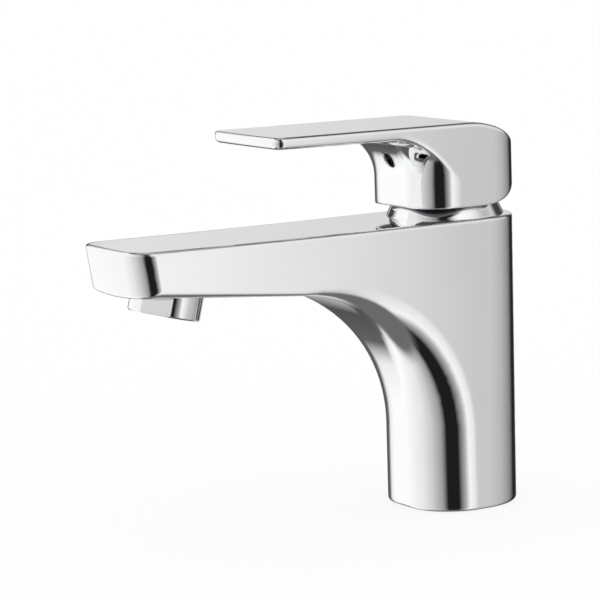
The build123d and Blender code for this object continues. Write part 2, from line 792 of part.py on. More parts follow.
with BuildPart() as lever_handle:
    with BuildSketch(Plane.YZ):
        with BuildLine():
            Polyline(
                (0, lever_bottom_root),
                (corner_y - flare_end, lever_bottom_root),
                (-lever_reach, lever_bottom_tip),
                (-lever_reach, blank_top),
                (0, blank_top),
                close=True,
            )
        make_face()
    extrude(amount=head_half, both=True)
    with BuildSketch(Plane.XY.offset(head_z)) as head_outline:
        with Locations((0, (head_back - head_front) / 2)):
            Rectangle(2 * head_half, head_front + head_back)
        fillet(head_outline.vertices().group_by(Axis.Y)[0], head_front_corner)
    extrude(amount=blank_top - head_z)
    right_flare = flare_face(Plane(origin=(corner_x, corner_y, 0), x_dir=(1, 0, 0), z_dir=(0, -1, 0)))
    revolve(right_flare, axis=Axis((corner_x, corner_y, 0), (0, 0, -1)), revolution_arc=90)
    left_flare = flare_face(Plane(origin=(-corner_x, corner_y, 0), x_dir=(0, -1, 0), z_dir=(-1, 0, 0)))
    revolve(left_flare, axis=Axis((-corner_x, corner_y, 0), (0, 0, -1)), revolution_arc=90)
    front_flare = flare_face(Plane(origin=(-corner_x, corner_y, 0), x_dir=(0, -1, 0), z_dir=(-1, 0, 0)))
    extrude(front_flare, amount=-2 * corner_x)
    add(handle_plan.part, mode=Mode.INTERSECT)
    with BuildSketch(Plane.YZ):
        with BuildLine():
            Line((-lever_reach, lever_top_tip), (crest_y, lever_top_crest))
            TangentArc((crest_y, lever_top_crest), crest_end, tangent=(crest_y + lever_reach, -crest_drop))
            Polyline(
                crest_end,
                (crest_end[0], blank_top + cut_room),
                (-lever_reach, blank_top + cut_room),
                (-lever_reach, lever_top_tip),
            )
        make_face()
    extrude(amount=2 * head_half, both=True, mode=Mode.SUBTRACT)
    lever_top = faces().filter_by(lambda face: face.normal_at().Z > 0.5)
    lever_rim = [e for e in lever_top.edges() if abs(e.center().Y - crest_y) > 0.5]
    fillet(lever_rim, lever_edge)
    lower_blank = split(bisect_by=rim_plane, keep=Keep.BOTTOM, mode=Mode.PRIVATE)
    split(bisect_by=rim_plane, keep=Keep.TOP)
    fillet([e for e in edges() if on_lower_rim(e.center())], lever_under)
    add(lower_blank)
    with BuildSketch(Plane.YZ):
        with BuildLine():
            TangentArc((heel_start, head_z), (heel_start + heel_radius, head_z + heel_radius), tangent=(1, 0))
            Polyline(
                (heel_start + heel_radius, head_z + heel_radius),
                (heel_start + heel_radius, head_z - 1),
                (heel_start, head_z - 1),
                (heel_start, head_z),
            )
        make_face()
    extrude(amount=2 * head_half, both=True, mode=Mode.SUBTRACT)

    # Hollow head, socket for the stem and boss for the grub screw
    with BuildSketch(Plane.XY.offset(body_height)) as hollow:
        with Locations((0, (head_back - head_front) / 2)):
            Rectangle(2 * (head_half - head_wall), head_front + head_back - 2 * head_wall)
        fillet(hollow.vertices().group_by(Axis.Y)[0], head_front_corner - head_wall)
        fillet(hollow.vertices().group_by(Axis.Y)[-1], head_back_corner - head_wall)
    extrude(amount=head_roof - body_height, mode=Mode.SUBTRACT)
    with BuildSketch(stem_plane.offset(socket_start)):
        Rectangle(2 * (stem_half + socket_wall), 2 * (stem_half + socket_wall))
    extrude(amount=socket_end - socket_start)
    with BuildSketch(grub_plane.offset(stem_half)):
        Rectangle(2 * grub_boss, 2 * grub_boss)
    extrude(amount=grub_boss_end - stem_half)
    with BuildSketch(stem_plane.offset(socket_start)):
        Rectangle(2 * (stem_half + fit_gap), 2 * (stem_half + fit_gap))
    extrude(amount=stem_length + fit_gap - socket_start, mode=Mode.SUBTRACT)
    with BuildSketch(grub_plane):
        Circle(grub_radius)
    extrude(amount=2 * grub_boss_end, mode=Mode.SUBTRACT)
lever_handle.part.label = "lever_handle"
export_step(lever_handle.part, "parts/lever_handle.step")

# Grub screw that clamps the handle on the stem
with BuildPart() as set_screw:
    with BuildSketch(grub_plane.offset(stem_half)):
        Circle(grub_radius - fit_gap)
    extrude(amount=grub_length)
    with BuildSketch(grub_plane.offset(stem_half + grub_length)):
        RegularPolygon(grub_key / 2, 6, major_radius=False)
    extrude(amount=-grub_key_depth, mode=Mode.SUBTRACT)
set_screw.part.label = "set_screw"
export_step(set_screw.part, "parts/set_screw.step")
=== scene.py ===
"""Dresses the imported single-lever basin mixer: finishes, screw threads, light tent, floor and camera."""

import logging
import math
from dataclasses import dataclass
from enum import Enum

import bpy
from mathutils import Matrix, Vector


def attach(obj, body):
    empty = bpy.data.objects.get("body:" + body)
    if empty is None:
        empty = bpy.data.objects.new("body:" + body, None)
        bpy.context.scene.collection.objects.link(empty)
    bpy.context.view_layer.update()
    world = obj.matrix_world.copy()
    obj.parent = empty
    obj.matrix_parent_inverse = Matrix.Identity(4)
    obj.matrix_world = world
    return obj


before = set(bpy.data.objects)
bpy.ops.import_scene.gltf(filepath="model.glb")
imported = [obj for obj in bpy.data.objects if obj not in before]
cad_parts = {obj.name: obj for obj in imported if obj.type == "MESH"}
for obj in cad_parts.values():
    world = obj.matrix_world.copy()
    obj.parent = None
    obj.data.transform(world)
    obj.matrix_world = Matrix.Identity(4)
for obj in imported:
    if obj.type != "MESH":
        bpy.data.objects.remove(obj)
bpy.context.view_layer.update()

LOG = logging.getLogger("mixer_scene")
MM = 0.001
HALF_TURN = 180.0
GRAIN_SPREAD = (0.35, 0.65)
GRAIN_DETAIL = 3.0
EDGE_SAMPLES = 8
RIDGE_CORNERS = 3
RAMP_MIDDLE = 0.5
Colour = tuple[float, float, float]
Spot = tuple[float, float, float]
Tree = bpy.types.NodeTree
Socket = bpy.types.NodeSocket


class Grain(Enum):
    """How the fine marks of a finish run."""

    POLISHED = (1.0, 1.0, 1.0)
    BRUSHED = (1.0, 1.0, 0.05)
    MOULDED = (1.0, 1.0, 0.8)


def grey(light: float) -> tuple[float, float, float, float]:
    """Returns a neutral colour of that brightness."""
    return (light, light, light, 1.0)


def add_sum(tree: Tree, operation: str, value: Socket, other: float | Socket = 0.0) -> Socket:
    """Adds one sum to a node tree.

    Args:
        tree: The node tree.
        operation: Name of the sum.
        value: First number.
        other: Second number.

    Returns:
        The result.
    """
    node = tree.nodes.new("ShaderNodeMath")
    node.operation = operation
    tree.links.new(value, node.inputs[0])
    if isinstance(other, float):
        node.inputs[1].default_value = other
    else:
        tree.links.new(other, node.inputs[1])
    return node.outputs["Value"]


def add_place(tree: Tree) -> tuple[Socket, ...]:
    """Adds the place of a spot on the surface.

    Args:
        tree: The node tree.

    Returns:
        Its three coordinates in metres.
    """
    place = tree.nodes.new("ShaderNodeTexCoord")
    parts = tree.nodes.new("ShaderNodeSeparateXYZ")
    tree.links.new(place.outputs["Object"], parts.inputs["Vector"])
    return parts.outputs["X"], parts.outputs["Y"], parts.outputs["Z"]


def soften_edges(tree: Tree, shader: bpy.types.Node, width: float) -> None:
    """Rounds the shine over the edges, as polishing does.

    Args:
        tree: Node tree of the material.
        shader: The shader to set.
        width: Width of a softened edge in metres.
    """
    bevel = tree.nodes.new("ShaderNodeBevel")
    bevel.samples = EDGE_SAMPLES
    bevel.inputs["Radius"].default_value = width
    tree.links.new(bevel.outputs["Normal"], shader.inputs["Normal"])


@dataclass(frozen=True)
class Finish:
    """One finish of the mixer: a metal, a rubber, a plastic or a ceramic.

    Attributes:
        name: Name of the material.
        light: Colour of the lighter parts of the grain.
        dark: Colour of the darker parts of the grain.
        metallic: 1 for bare or plated metal, 0 otherwise.
        rough: Roughness of the smoothest and of the dullest spots.
        grain: How the fine marks run.
        marks: Marks per metre.
        relief: Height of the grain in metres.
        softened: Width over which polishing has softened the edges, in metres.
    """

    name: str
    light: Colour
    dark: Colour
    metallic: float
    rough: tuple[float, float]
    grain: Grain
    marks: float
    relief: float = 0.0
    softened: float = 0.0

    def material(self) -> bpy.types.Material:
        """Builds the finish once and finds it again later.

        Returns:
            The node material of this finish.
        """
        found = bpy.data.materials.get(self.name)
        if found is not None:
            return found
        material = bpy.data.materials.new(self.name)
        material.use_nodes = True
        self.paint(material.node_tree, material.node_tree.nodes["Principled BSDF"])
        return material

    def paint(self, tree: Tree, shader: bpy.types.Node) -> None:
        """Gives a shader this finish.

        Args:
            tree: Node tree of the material.
            shader: The shader to set.
        """
        shader.inputs["Metallic"].default_value = self.metallic
        colour, rough = self.look(tree)
        tree.links.new(colour, shader.inputs["Base Color"])
        tree.links.new(rough, shader.inputs["Roughness"])
        if self.relief > 0:
            bump = tree.nodes.new("ShaderNodeBump")
            bump.inputs["Distance"].default_value = self.relief
            tree.links.new(self.noise(tree), bump.inputs["Height"])
            tree.links.new(bump.outputs["Normal"], shader.inputs["Normal"])
        if self.softened > 0:
            soften_edges(tree, shader, self.softened)

    def look(self, tree: Tree) -> tuple[Socket, Socket]:
        """Adds the colour and the roughness of the grain.

        Args:
            tree: Node tree of the material.

        Returns:
            Colour and roughness.
        """
        noise = self.noise(tree)
        colour = tree.nodes.new("ShaderNodeValToRGB")
        low, high = colour.color_ramp.elements
        low.position, high.position = GRAIN_SPREAD
        low.color, high.color = (*self.dark, 1.0), (*self.light, 1.0)
        rough = tree.nodes.new("ShaderNodeMapRange")
        rough.inputs["To Min"].default_value = self.rough[0]
        rough.inputs["To Max"].default_value = self.rough[1]
        tree.links.new(noise, colour.inputs["Fac"])
        tree.links.new(noise, rough.inputs["Value"])
        return colour.outputs["Color"], rough.outputs["Result"]

    def noise(self, tree: Tree) -> Socket:
        """Adds the noise that the grain comes from.

        Args:
            tree: Node tree of the material.

        Returns:
            The noise.
        """
        place = tree.nodes.new("ShaderNodeTexCoord")
        stretch = tree.nodes.new("ShaderNodeMapping")
        stretch.inputs["Scale"].default_value = self.grain.value
        noise = tree.nodes.new("ShaderNodeTexNoise")
        noise.inputs["Scale"].default_value = self.marks
        noise.inputs["Detail"].default_value = GRAIN_DETAIL
        tree.links.new(place.outputs["Object"], stretch.inputs["Vector"])
        tree.links.new(stretch.outputs["Vector"], noise.inputs["Vector"])
        return noise.outputs["Fac"]


CHROME = Finish(
    name="polished_chrome",
    light=(0.945, 0.95, 0.955),
    dark=(0.93, 0.935, 0.94),
    metallic=1.0,
    rough=(0.01, 0.03),
    grain=Grain.POLISHED,
    marks=40,
    softened=0.5 * MM,
)
BRASS = Finish(
    name="machined_brass",
    light=(0.74, 0.58, 0.30),
    dark=(0.66, 0.50, 0.24),
    metallic=1.0,
    rough=(0.22, 0.34),
    grain=Grain.BRUSHED,
    marks=900,
    relief=0.02 * MM,
)
RAW_BRASS = Finish(
    name="raw_brass",
    light=(0.60, 0.47, 0.27),
    dark=(0.50, 0.38, 0.20),
    metallic=1.0,
    rough=(0.42, 0.6),
    grain=Grain.MOULDED,
    marks=1400,
)
RAW_ZINC = Finish(
    name="raw_zinc",
    light=(0.52, 0.53, 0.55),
    dark=(0.42, 0.43, 0.45),
    metallic=1.0,
    rough=(0.42, 0.58),
    grain=Grain.MOULDED,
    marks=1400,
)
STEEL = Finish(
    name="satin_steel",
    light=(0.62, 0.63, 0.64),
    dark=(0.52, 0.53, 0.54),
    metallic=1.0,
    rough=(0.25, 0.38),
    grain=Grain.BRUSHED,
    marks=900,
    relief=0.02 * MM,
)
BLACK_STEEL = Finish(
    name="blackened_steel",
    light=(0.17, 0.17, 0.175),
    dark=(0.12, 0.12, 0.125),
    metallic=1.0,
    rough=(0.38, 0.5),
    grain=Grain.MOULDED,
    marks=700,
)
RUBBER = Finish(
    name="black_rubber",
    light=(0.035, 0.035, 0.036),
    dark=(0.022, 0.022, 0.023),
    metallic=0.0,
    rough=(0.6, 0.75),
    grain=Grain.MOULDED,
    marks=1500,
    relief=0.03 * MM,
)
WHITE_PLASTIC = Finish(
    name="white_plastic",
    light=(0.82, 0.82, 0.80),
    dark=(0.77, 0.77, 0.75),
    metallic=0.0,
    rough=(0.38, 0.5),
    grain=Grain.MOULDED,
    marks=1200,
    relief=0.02 * MM,
)
DARK_PLASTIC = Finish(
    name="dark_plastic",
    light=(0.13, 0.14, 0.16),
    dark=(0.10, 0.11, 0.13),
    metallic=0.0,
    rough=(0.4, 0.52),
    grain=Grain.MOULDED,
    marks=1200,
    relief=0.02 * MM,
)
GREY_PLASTIC = Finish(
    name="grey_plastic",
    light=(0.56, 0.57, 0.59),
    dark=(0.50, 0.51, 0.53),
    metallic=0.0,
    rough=(0.38, 0.5),
    grain=Grain.MOULDED,
    marks=1200,
    relief=0.02 * MM,
)
CERAMIC = Finish(
    name="lapped_ceramic",
    light=(0.90, 0.88, 0.82),
    dark=(0.86, 0.84, 0.78),
    metallic=0.0,
    rough=(0.12, 0.2),
    grain=Grain.POLISHED,
    marks=600,
)


@dataclass(frozen=True)
class PlatedCasting:
    """Chrome plate over a casting whose hollow inside stays raw.

    Attributes:
        name: Name of the material.
        raw: Finish of the bare metal.
        half: Half width of the hollow in metres.
        front: How far the hollow reaches to the front.
        back: How far it reaches to the back.
        corner: Radius of its corners, seen from above.
        top: Height of its roof.
        softened: Width over which polishing has softened the edges.
    """

    name: str
    raw: Finish
    half: float
    front: float
    back: float
    corner: float
    top: float
    softened: float

    def material(self) -> bpy.types.Material:
        """Builds chrome outside and bare metal in the hollow.

        Returns:
            The casting's material.
        """
        material = bpy.data.materials.new(self.name)
        material.use_nodes = True
        tree = material.node_tree
        shader = tree.nodes["Principled BSDF"]
        shader.inputs["Metallic"].default_value = self.raw.metallic
        inside = self.inside(tree)
        plated = CHROME.look(tree)
        bare = self.raw.look(tree)
        for name, outer, inner in zip(("Base Color", "Roughness"), plated, bare):
            pick = tree.nodes.new("ShaderNodeMixRGB")
            tree.links.new(inside, pick.inputs["Fac"])
            tree.links.new(outer, pick.inputs["Color1"])
            tree.links.new(inner, pick.inputs["Color2"])
            tree.links.new(pick.outputs["Color"], shader.inputs[name])
        soften_edges(tree, shader, self.softened)
        return material

    def inside(self, tree: Tree) -> Socket:
        """Adds the test for a spot inside the hollow.

        Args:
            tree: Node tree of the material.

        Returns:
            1 inside and 0 outside.
        """
        across, along, height = add_place(tree)
        aside = add_sum(tree, "SUBTRACT", add_sum(tree, "ABSOLUTE", across), self.half - self.corner)
        aside = add_sum(tree, "MAXIMUM", aside, 0.0)
        ahead = add_sum(tree, "SUBTRACT", add_sum(tree, "MULTIPLY", along, -1.0), self.front - self.corner)
        behind = add_sum(tree, "SUBTRACT", along, self.back - self.corner)
        beyond = add_sum(tree, "MAXIMUM", add_sum(tree, "MAXIMUM", ahead, behind), 0.0)
        squares = add_sum(tree, "MULTIPLY", aside, aside)
        squares = add_sum(tree, "ADD", squares, add_sum(tree, "MULTIPLY", beyond, beyond))
        within = add_sum(tree, "LESS_THAN", squares, self.corner**2)
        return add_sum(tree, "MULTIPLY", within, add_sum(tree, "LESS_THAN", height, self.top))


def dress(name: str, material: bpy.types.Material) -> None:
    """Gives one piece of the mixer its material.

    Args:
        name: Name of the piece.
        material: Its material.
    """
    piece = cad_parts[name]
    piece.data.materials.clear()
    piece.data.materials.append(material)
    LOG.info("dressed %s in %s", name, material.name)


def dress_group(group: str, finishes: dict[str, Finish]) -> None:
    """Dresses the pieces of one sub-assembly.

    Args:
        group: Name of the sub-assembly.
        finishes: Finish of each piece by name.
    """
    for piece, finish in finishes.items():
        dress(piece, finish.material())
    LOG.info("%s has %d pieces", group, len(finishes))


@dataclass(frozen=True)
class SocketThread:
    """Ridge of a tapped hole, wound up from the hole's mouth.

    Attributes:
        name: Name of the piece.
        centre: Place of the hole's axis from above, in metres.
        mouth: Height of the hole's mouth.
        length: Tapped length.
        radius: Radius of the hole.
        pitch: Rise of the ridge in one turn.
        depth: How far the ridge stands into the hole.
        root: How far the ridge reaches into the wall.
        steps: Pieces of a turn.
        lead_in: Turns between the mouth and the ridge's start.
        run_out: Turns of the hole that the ridge leaves free in all.
        flank: Half height of the ridge's foot, as a share of the pitch.
        fade: Share of a turn over which the ends taper.
        tip: Share of the full height at the very ends.
    """

    name: str
    centre: tuple[float, float]
    mouth: float
    length: float
    radius: float
    pitch: float
    depth: float
    root: float = 0.05 * MM
    steps: int = 40
    lead_in: float = 0.75
    run_out: float = 1.5
    flank: float = 0.42
    fade: float = 0.25
    tip: float = 0.05

    def build(self) -> None:
        """Winds the ridge and lets it ride on the casting."""
        turns = self.length / self.pitch - self.run_out
        count = int(turns * self.steps)
        points: list[Spot] = []
        for step in range(count + 1):
            points += self.ring(step, count)
        last = RIDGE_CORNERS * count
        faces: list[tuple[int, ...]] = [(0, 1, 2), (last + 2, last + 1, last)]
        for step in range(count):
            low = RIDGE_CORNERS * step
            high = low + RIDGE_CORNERS
            for corner in range(RIDGE_CORNERS):
                after = (corner + 1) % RIDGE_CORNERS
                faces.append((low + corner, high + corner, high + after, low + after))
        mesh = bpy.data.meshes.new(self.name)
        mesh.from_pydata(points, [], faces)
        mesh.materials.append(BRASS.material())
        ridge = bpy.data.objects.new(self.name, mesh)
        bpy.context.scene.collection.objects.link(ridge)
        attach(ridge, "mixer")
        LOG.info("wound %s with %.1f turns", self.name, turns)

    def ring(self, step: int, count: int) -> list[Spot]:
        """Gives the three corners of the ridge at one step.

        Args:
            step: Number of the step.
            count: Number of all steps.

        Returns:
            Lower root, crest and upper root.
        """
        turn = math.tau * step / self.steps
        height = self.mouth + self.pitch * (self.lead_in + step / self.steps)
        fading = self.fade * self.steps
        taper = max(min(1.0, step / fading, (count - step) / fading), self.tip)
        half = self.flank * self.pitch * taper
        corners = []
        for out, rise in ((self.root, -half), (-self.depth * taper, 0.0), (self.root, half)):
            reach = self.radius + out
            spot = (self.centre[0] + reach * math.cos(turn), self.centre[1] + reach * math.sin(turn))
            corners.append((*spot, height + rise))
        return corners


@dataclass
class CastBody:
    """Column and spout in one plated casting, with its tapped sockets and the foot's sealing ring.

    Attributes:
        hollow_radius: Radius of the raw hollow under the column, in metres.
        hollow_top: Height of the hollow's roof.
        socket_top: Height up to which the casting is raw inside.
        inlet_x: Hose sockets left and right of the column's axis.
        inlet_y: Hose sockets in front of it.
        inlet_radius: Radius of a hose socket.
        stud_y: Stud hole behind the axis.
        stud_radius: Radius of the stud hole.
        tapped: Tapped length of the holes.
        inlet_pitch: Pitch of the hose thread.
        stud_pitch: Pitch of the stud thread.
        ridge: How far a thread stands into its hole.
        softened: Width of the edges that polishing has softened.
    """

    hollow_radius: float = 18.2 * MM
    hollow_top: float = 44.0 * MM
    socket_top: float = 72.0 * MM
    inlet_x: float = 7.0 * MM
    inlet_y: float = -4.0 * MM
    inlet_radius: float = 4.5 * MM
    stud_y: float = 8.5 * MM
    stud_radius: float = 3.4 * MM
    tapped: float = 14.0 * MM
    inlet_pitch: float = 1.0 * MM
    stud_pitch: float = 1.25 * MM
    ridge: float = 0.35 * MM
    softened: float = 1.8 * MM

    def build(self) -> None:
        """Winds the threads of the hose sockets and of the stud hole."""
        holes = (
            ("hot_inlet_thread", (-self.inlet_x, self.inlet_y), self.inlet_radius, self.inlet_pitch),
            ("cold_inlet_thread", (self.inlet_x, self.inlet_y), self.inlet_radius, self.inlet_pitch),
            ("stud_thread", (0.0, self.stud_y), self.stud_radius, self.stud_pitch),
        )
        for name, centre, radius, pitch in holes:
            SocketThread(name, centre, self.hollow_top, self.tapped, radius, pitch, self.ridge).build()

    def dress(self) -> None:
        """Dresses the casting and its sealing ring."""
        casting = PlatedCasting(
            name="plated_body",
            raw=RAW_BRASS,
            half=self.hollow_radius,
            front=self.hollow_radius,
            back=self.hollow_radius,
            corner=self.hollow_radius,
            top=self.socket_top,
            softened=self.softened,
        )
        dress("faucet_body", casting.material())
        dress_group("foot", {"base_gasket": RUBBER})


@dataclass
class Aerator:
    """Screwed aerator under the front of the spout.

    Attributes:
        shell: Finish of the housing.
        jets: Finish of the insert.
        sieve: Finish of the screen.
    """

    shell: Finish = CHROME
    jets: Finish = GREY_PLASTIC
    sieve: Finish = STEEL

    def dress(self) -> None:
        """Dresses the aerator's four pieces."""
        finishes = {
            "aerator_housing": self.shell,
            "aerator_gasket": RUBBER,
            "aerator_insert": self.jets,
            "aerator_screen": self.sieve,
        }
        dress_group("aerator", finishes)


@dataclass
class Cartridge:
    """Ceramic-disc cartridge inside the column.

    Attributes:
        barrel: Finish of the foot and the barrel.
        moving: Finish of the carrier and the rotor.
        discs: Finish of the two discs.
    """

    barrel: Finish = WHITE_PLASTIC
    moving: Finish = DARK_PLASTIC
    discs: Finish = CERAMIC

    def dress(self) -> None:
        """Dresses the cartridge's pieces."""
        finishes = {
            "cartridge_base": self.barrel,
            "cartridge_housing": self.barrel,
            "fixed_disc": self.discs,
            "moving_disc": self.discs,
            "disc_carrier": self.moving,
            "stem_rotor": self.moving,
            "stem_pin": STEEL,
            "cartridge_stem": BRASS,
        }
        rings = (
            "base_seal_hot",
            "base_seal_cold",
            "disc_seal_hot",
            "disc_seal_cold",
            "disc_seal_outlet",
            "cartridge_o_ring",
            "rotor_o_ring",
        )
        finishes.update({ring: RUBBER for ring in rings})
        dress_group("cartridge", finishes)


@dataclass
class Collar:
    """Nut that holds the cartridge down, with the dome ring that hides it.

    Attributes:
        nut: Finish of the nut.
        dome: Finish of the ring.
    """

    nut: Finish = BRASS
    dome: Finish = CHROME

    def dress(self) -> None:
        """Dresses the collar's pieces."""
        finishes = {"retaining_nut": self.nut, "dome_o_ring": RUBBER, "dome_ring": self.dome}
        dress_group("collar", finishes)


@dataclass
class LeverHandle:
    """Cast lever with its hollow head and grub screw.

    Attributes:
        hollow_half: Half width of the raw hollow in metres, to the middle of the wall.
        hollow_front: Reach of the hollow to the front.
        hollow_back: Reach of the hollow to the back.
        hollow_corner: Radius of its corners.
        hollow_top: Height of its roof.
        softened: Width of the edges that polishing has softened.
    """

    hollow_half: float = 21.6 * MM
    hollow_front: float = 21.6 * MM
    hollow_back: float = 21.1 * MM
    hollow_corner: float = 13.3 * MM
    hollow_top: float = 133.0 * MM
    softened: float = 1.5 * MM

    def dress(self) -> None:
        """Dresses the lever and its screw."""
        casting = PlatedCasting(
            name="plated_lever",
            raw=RAW_ZINC,
            half=self.hollow_half,
            front=self.hollow_front,
            back=self.hollow_back,
            corner=self.hollow_corner,
            top=self.hollow_top,
            softened=self.softened,
        )
        dress("lever_handle", casting.material())
        dress_group("lever screw", {"set_screw": BLACK_STEEL})


@dataclass(frozen=True)
class Stop:
    """One stop of a ring of light round the mixer.

    Attributes:
        angle: Degrees from the camera's slot, positive to the right of the mixer.
        light: Brightness, where 1 is white.
    """

    angle: float
    light: float


@dataclass
class LightTent:
    """Round white cloth that only the gloss of the mixer shows, with a slot for the camera and dark flags.

    Attributes:
        radius: Radius of the cloth in metres.
        foot: Lower edge of the cloth.
        top: Upper edge of the cloth.
        sides: Number of panels round it.
        heading: Direction of the camera's slot from the spout's direction, in degrees.
        low_ring: Light of the lower cloth.
        middle_ring: Light of the cloth between.
        high_ring: Light of the upper cloth.
        low_top: Heights where the lower cloth turns into the middle one.
        high_foot: Heights where the middle cloth turns into the upper one.
        rim_light: Light of the dark rim at the top.
        rim_foot: Heights where the upper cloth turns into the rim.
        table_light: Light of the table under the tent.
        table_rise: Heights between which the lower cloth fades into the table.
        strength: Light of a white spot.
    """

    radius: float = 0.40
    foot: float = -0.9
    top: float = 0.9
    sides: int = 128
    heading: float = 55.35
    low_ring: tuple[Stop, ...] = (
        Stop(-180, 0.75),
        Stop(-172, 0.55),
        Stop(-160, 0.08),
        Stop(-140, 0.12),
        Stop(-128, 0.84),
        Stop(-113, 1.0),
        Stop(-63, 0.79),
        Stop(-42, 0.60),
        Stop(-20, 0.33),
        Stop(-9, 0.012),
        Stop(16, 0.012),
        Stop(31, 0.42),
        Stop(40, 0.92),
        Stop(52, 0.79),
        Stop(60, 0.69),
        Stop(66, 0.575),
        Stop(94, 0.46),
        Stop(120, 0.26),
        Stop(137, 0.015),
        Stop(158, 0.03),
        Stop(171, 0.55),
        Stop(180, 0.75),
    )
    middle_ring: tuple[Stop, ...] = (
        Stop(-180, 0.66),
        Stop(-155, 0.73),
        Stop(-147, 0.05),
        Stop(-130, 0.05),
        Stop(-116, 0.95),
        Stop(-48, 0.90),
        Stop(-28, 0.60),
        Stop(-18, 0.45),
        Stop(-6, 0.03),
        Stop(10, 0.03),
        Stop(22, 0.90),
        Stop(112, 0.65),
        Stop(125, 0.05),
        Stop(148, 0.05),
        Stop(157, 0.60),
        Stop(180, 0.66),
    )
    high_ring: tuple[Stop, ...] = (
        Stop(-180, 0.15),
        Stop(-140, 0.15),
        Stop(-115, 1.0),
        Stop(-75, 1.0),
        Stop(-40, 0.5),
        Stop(-22, 0.2),
        Stop(-12, 0.015),
        Stop(5, 0.015),
        Stop(22, 0.78),
        Stop(32, 1.0),
        Stop(60, 0.9),
        Stop(85, 0.55),
        Stop(105, 0.3),
        Stop(125, 0.1),
        Stop(180, 0.15),
    )
    low_top: tuple[float, float] = (0.11, 0.15)
    high_foot: tuple[float, float] = (0.25, 0.34)
    rim_light: float = 0.10
    rim_foot: tuple[float, float] = (0.46, 0.56)
    table_light: float = 0.15
    table_rise: tuple[float, float] = (-0.75, -0.42)
    strength: float = 1.05

    def build(self) -> None:
        """Hangs the cloth and hides it from the camera, from diffuse light and from shadows."""
        corners = []
        for side in range(self.sides):
            turn = math.tau * side / self.sides
            spot = (self.radius * math.cos(turn), self.radius * math.sin(turn))
            corners += [(*spot, self.foot), (*spot, self.top)]
        count = len(corners)
        panels = [(n, (n + 2) % count, (n + 3) % count, n + 1) for n in range(0, count, 2)]
        mesh = bpy.data.meshes.new("light_tent")
        mesh.from_pydata(corners, [], panels)
        mesh.materials.append(self.cloth())
        tent = bpy.data.objects.new("light_tent", mesh)
        bpy.context.scene.collection.objects.link(tent)
        tent.visible_camera = False
        tent.visible_diffuse = False
        tent.visible_shadow = False

    def cloth(self) -> bpy.types.Material:
        """Builds the cloth's light.

        Returns:
            The cloth's material.
        """
        material = bpy.data.materials.new("tent_cloth")
        material.use_nodes = True
        tree = material.node_tree
        tree.nodes.clear()
        across, along, height = add_place(tree)
        around = self.angle(tree, across, along)
        low = self.ring(tree, around, self.low_ring)
        middle = self.ring(tree, around, self.middle_ring)
        high = self.ring(tree, around, self.high_ring)
        light = self.blend(tree, height, self.low_top, low, middle)
        light = self.blend(tree, height, self.high_foot, light, high)
        light = self.blend(tree, height, self.rim_foot, light, self.rim_light)
        light = self.blend(tree, height, self.table_rise, self.table_light, light)
        glow = tree.nodes.new("ShaderNodeEmission")
        glow.inputs["Strength"].default_value = self.strength
        out = tree.nodes.new("ShaderNodeOutputMaterial")
        tree.links.new(light, glow.inputs["Color"])
        tree.links.new(glow.outputs["Emission"], out.inputs["Surface"])
        return material

    def angle(self, tree: Tree, across: Socket, along: Socket) -> Socket:
        """Adds the angle of a spot on the cloth, from the camera's slot.

        Args:
            tree: Node tree of the cloth.
            across: The spot's place across the spout.
            along: The spot's place along the spout.

        Returns:
            The angle in degrees, from -180 to 180.
        """
        forward = add_sum(tree, "MULTIPLY", along, -1.0)
        turn = add_sum(tree, "ARCTAN2", across, forward)
        degrees = add_sum(tree, "DEGREES", turn)
        wrap = tree.nodes.new("ShaderNodeMath")
        wrap.operation = "WRAP"
        wrap.inputs[1].default_value = HALF_TURN
        wrap.inputs[2].default_value = -HALF_TURN
        tree.links.new(add_sum(tree, "SUBTRACT", degrees, self.heading), wrap.inputs[0])
        return wrap.outputs["Value"]

    def ring(self, tree: Tree, around: Socket, stops: tuple[Stop, ...]) -> Socket:
        """Adds a ring of light.

        Args:
            tree: Node tree of the cloth.
            around: Angle round the mixer in degrees.
            stops: The ring's stops in order.

        Returns:
            The ring's brightness.
        """
        share = tree.nodes.new("ShaderNodeMapRange")
        share.inputs["From Min"].default_value = -HALF_TURN
        share.inputs["From Max"].default_value = HALF_TURN
        tree.links.new(around, share.inputs["Value"])
        ramp = tree.nodes.new("ShaderNodeValToRGB")
        elements = ramp.color_ramp.elements
        while len(elements) < len(stops):
            elements.new(RAMP_MIDDLE)
        for element, stop in zip(elements, stops):
            element.position = (stop.angle + HALF_TURN) / (2 * HALF_TURN)
            element.color = grey(stop.light)
        tree.links.new(share.outputs["Result"], ramp.inputs["Fac"])
        return ramp.outputs["Color"]

    def blend(
        self,
        tree: Tree,
        height: Socket,
        span: tuple[float, float],
        below: float | Socket,
        above: float | Socket,
    ) -> Socket:
        """Adds a soft change of light from one height to another.

        Args:
            tree: Node tree of the cloth.
            height: Height of the spot.
            span: Heights where the change starts and ends.
            below: Light under it.
            above: Light over it.

        Returns:
            The blended light.
        """
        step = tree.nodes.new("ShaderNodeMapRange")
        step.interpolation_type = "SMOOTHSTEP"
        step.inputs["From Min"].default_value = span[0]
        step.inputs["From Max"].default_value = span[1]
        tree.links.new(height, step.inputs["Value"])
        mix = tree.nodes.new("ShaderNodeMixRGB")
        tree.links.new(step.outputs["Result"], mix.inputs["Fac"])
        for name, light in (("Color1", below), ("Color2", above)):
            if isinstance(light, float):
                mix.inputs[name].default_value = grey(light)
            else:
                tree.links.new(light, mix.inputs[name])
        return mix.outputs["Color"]


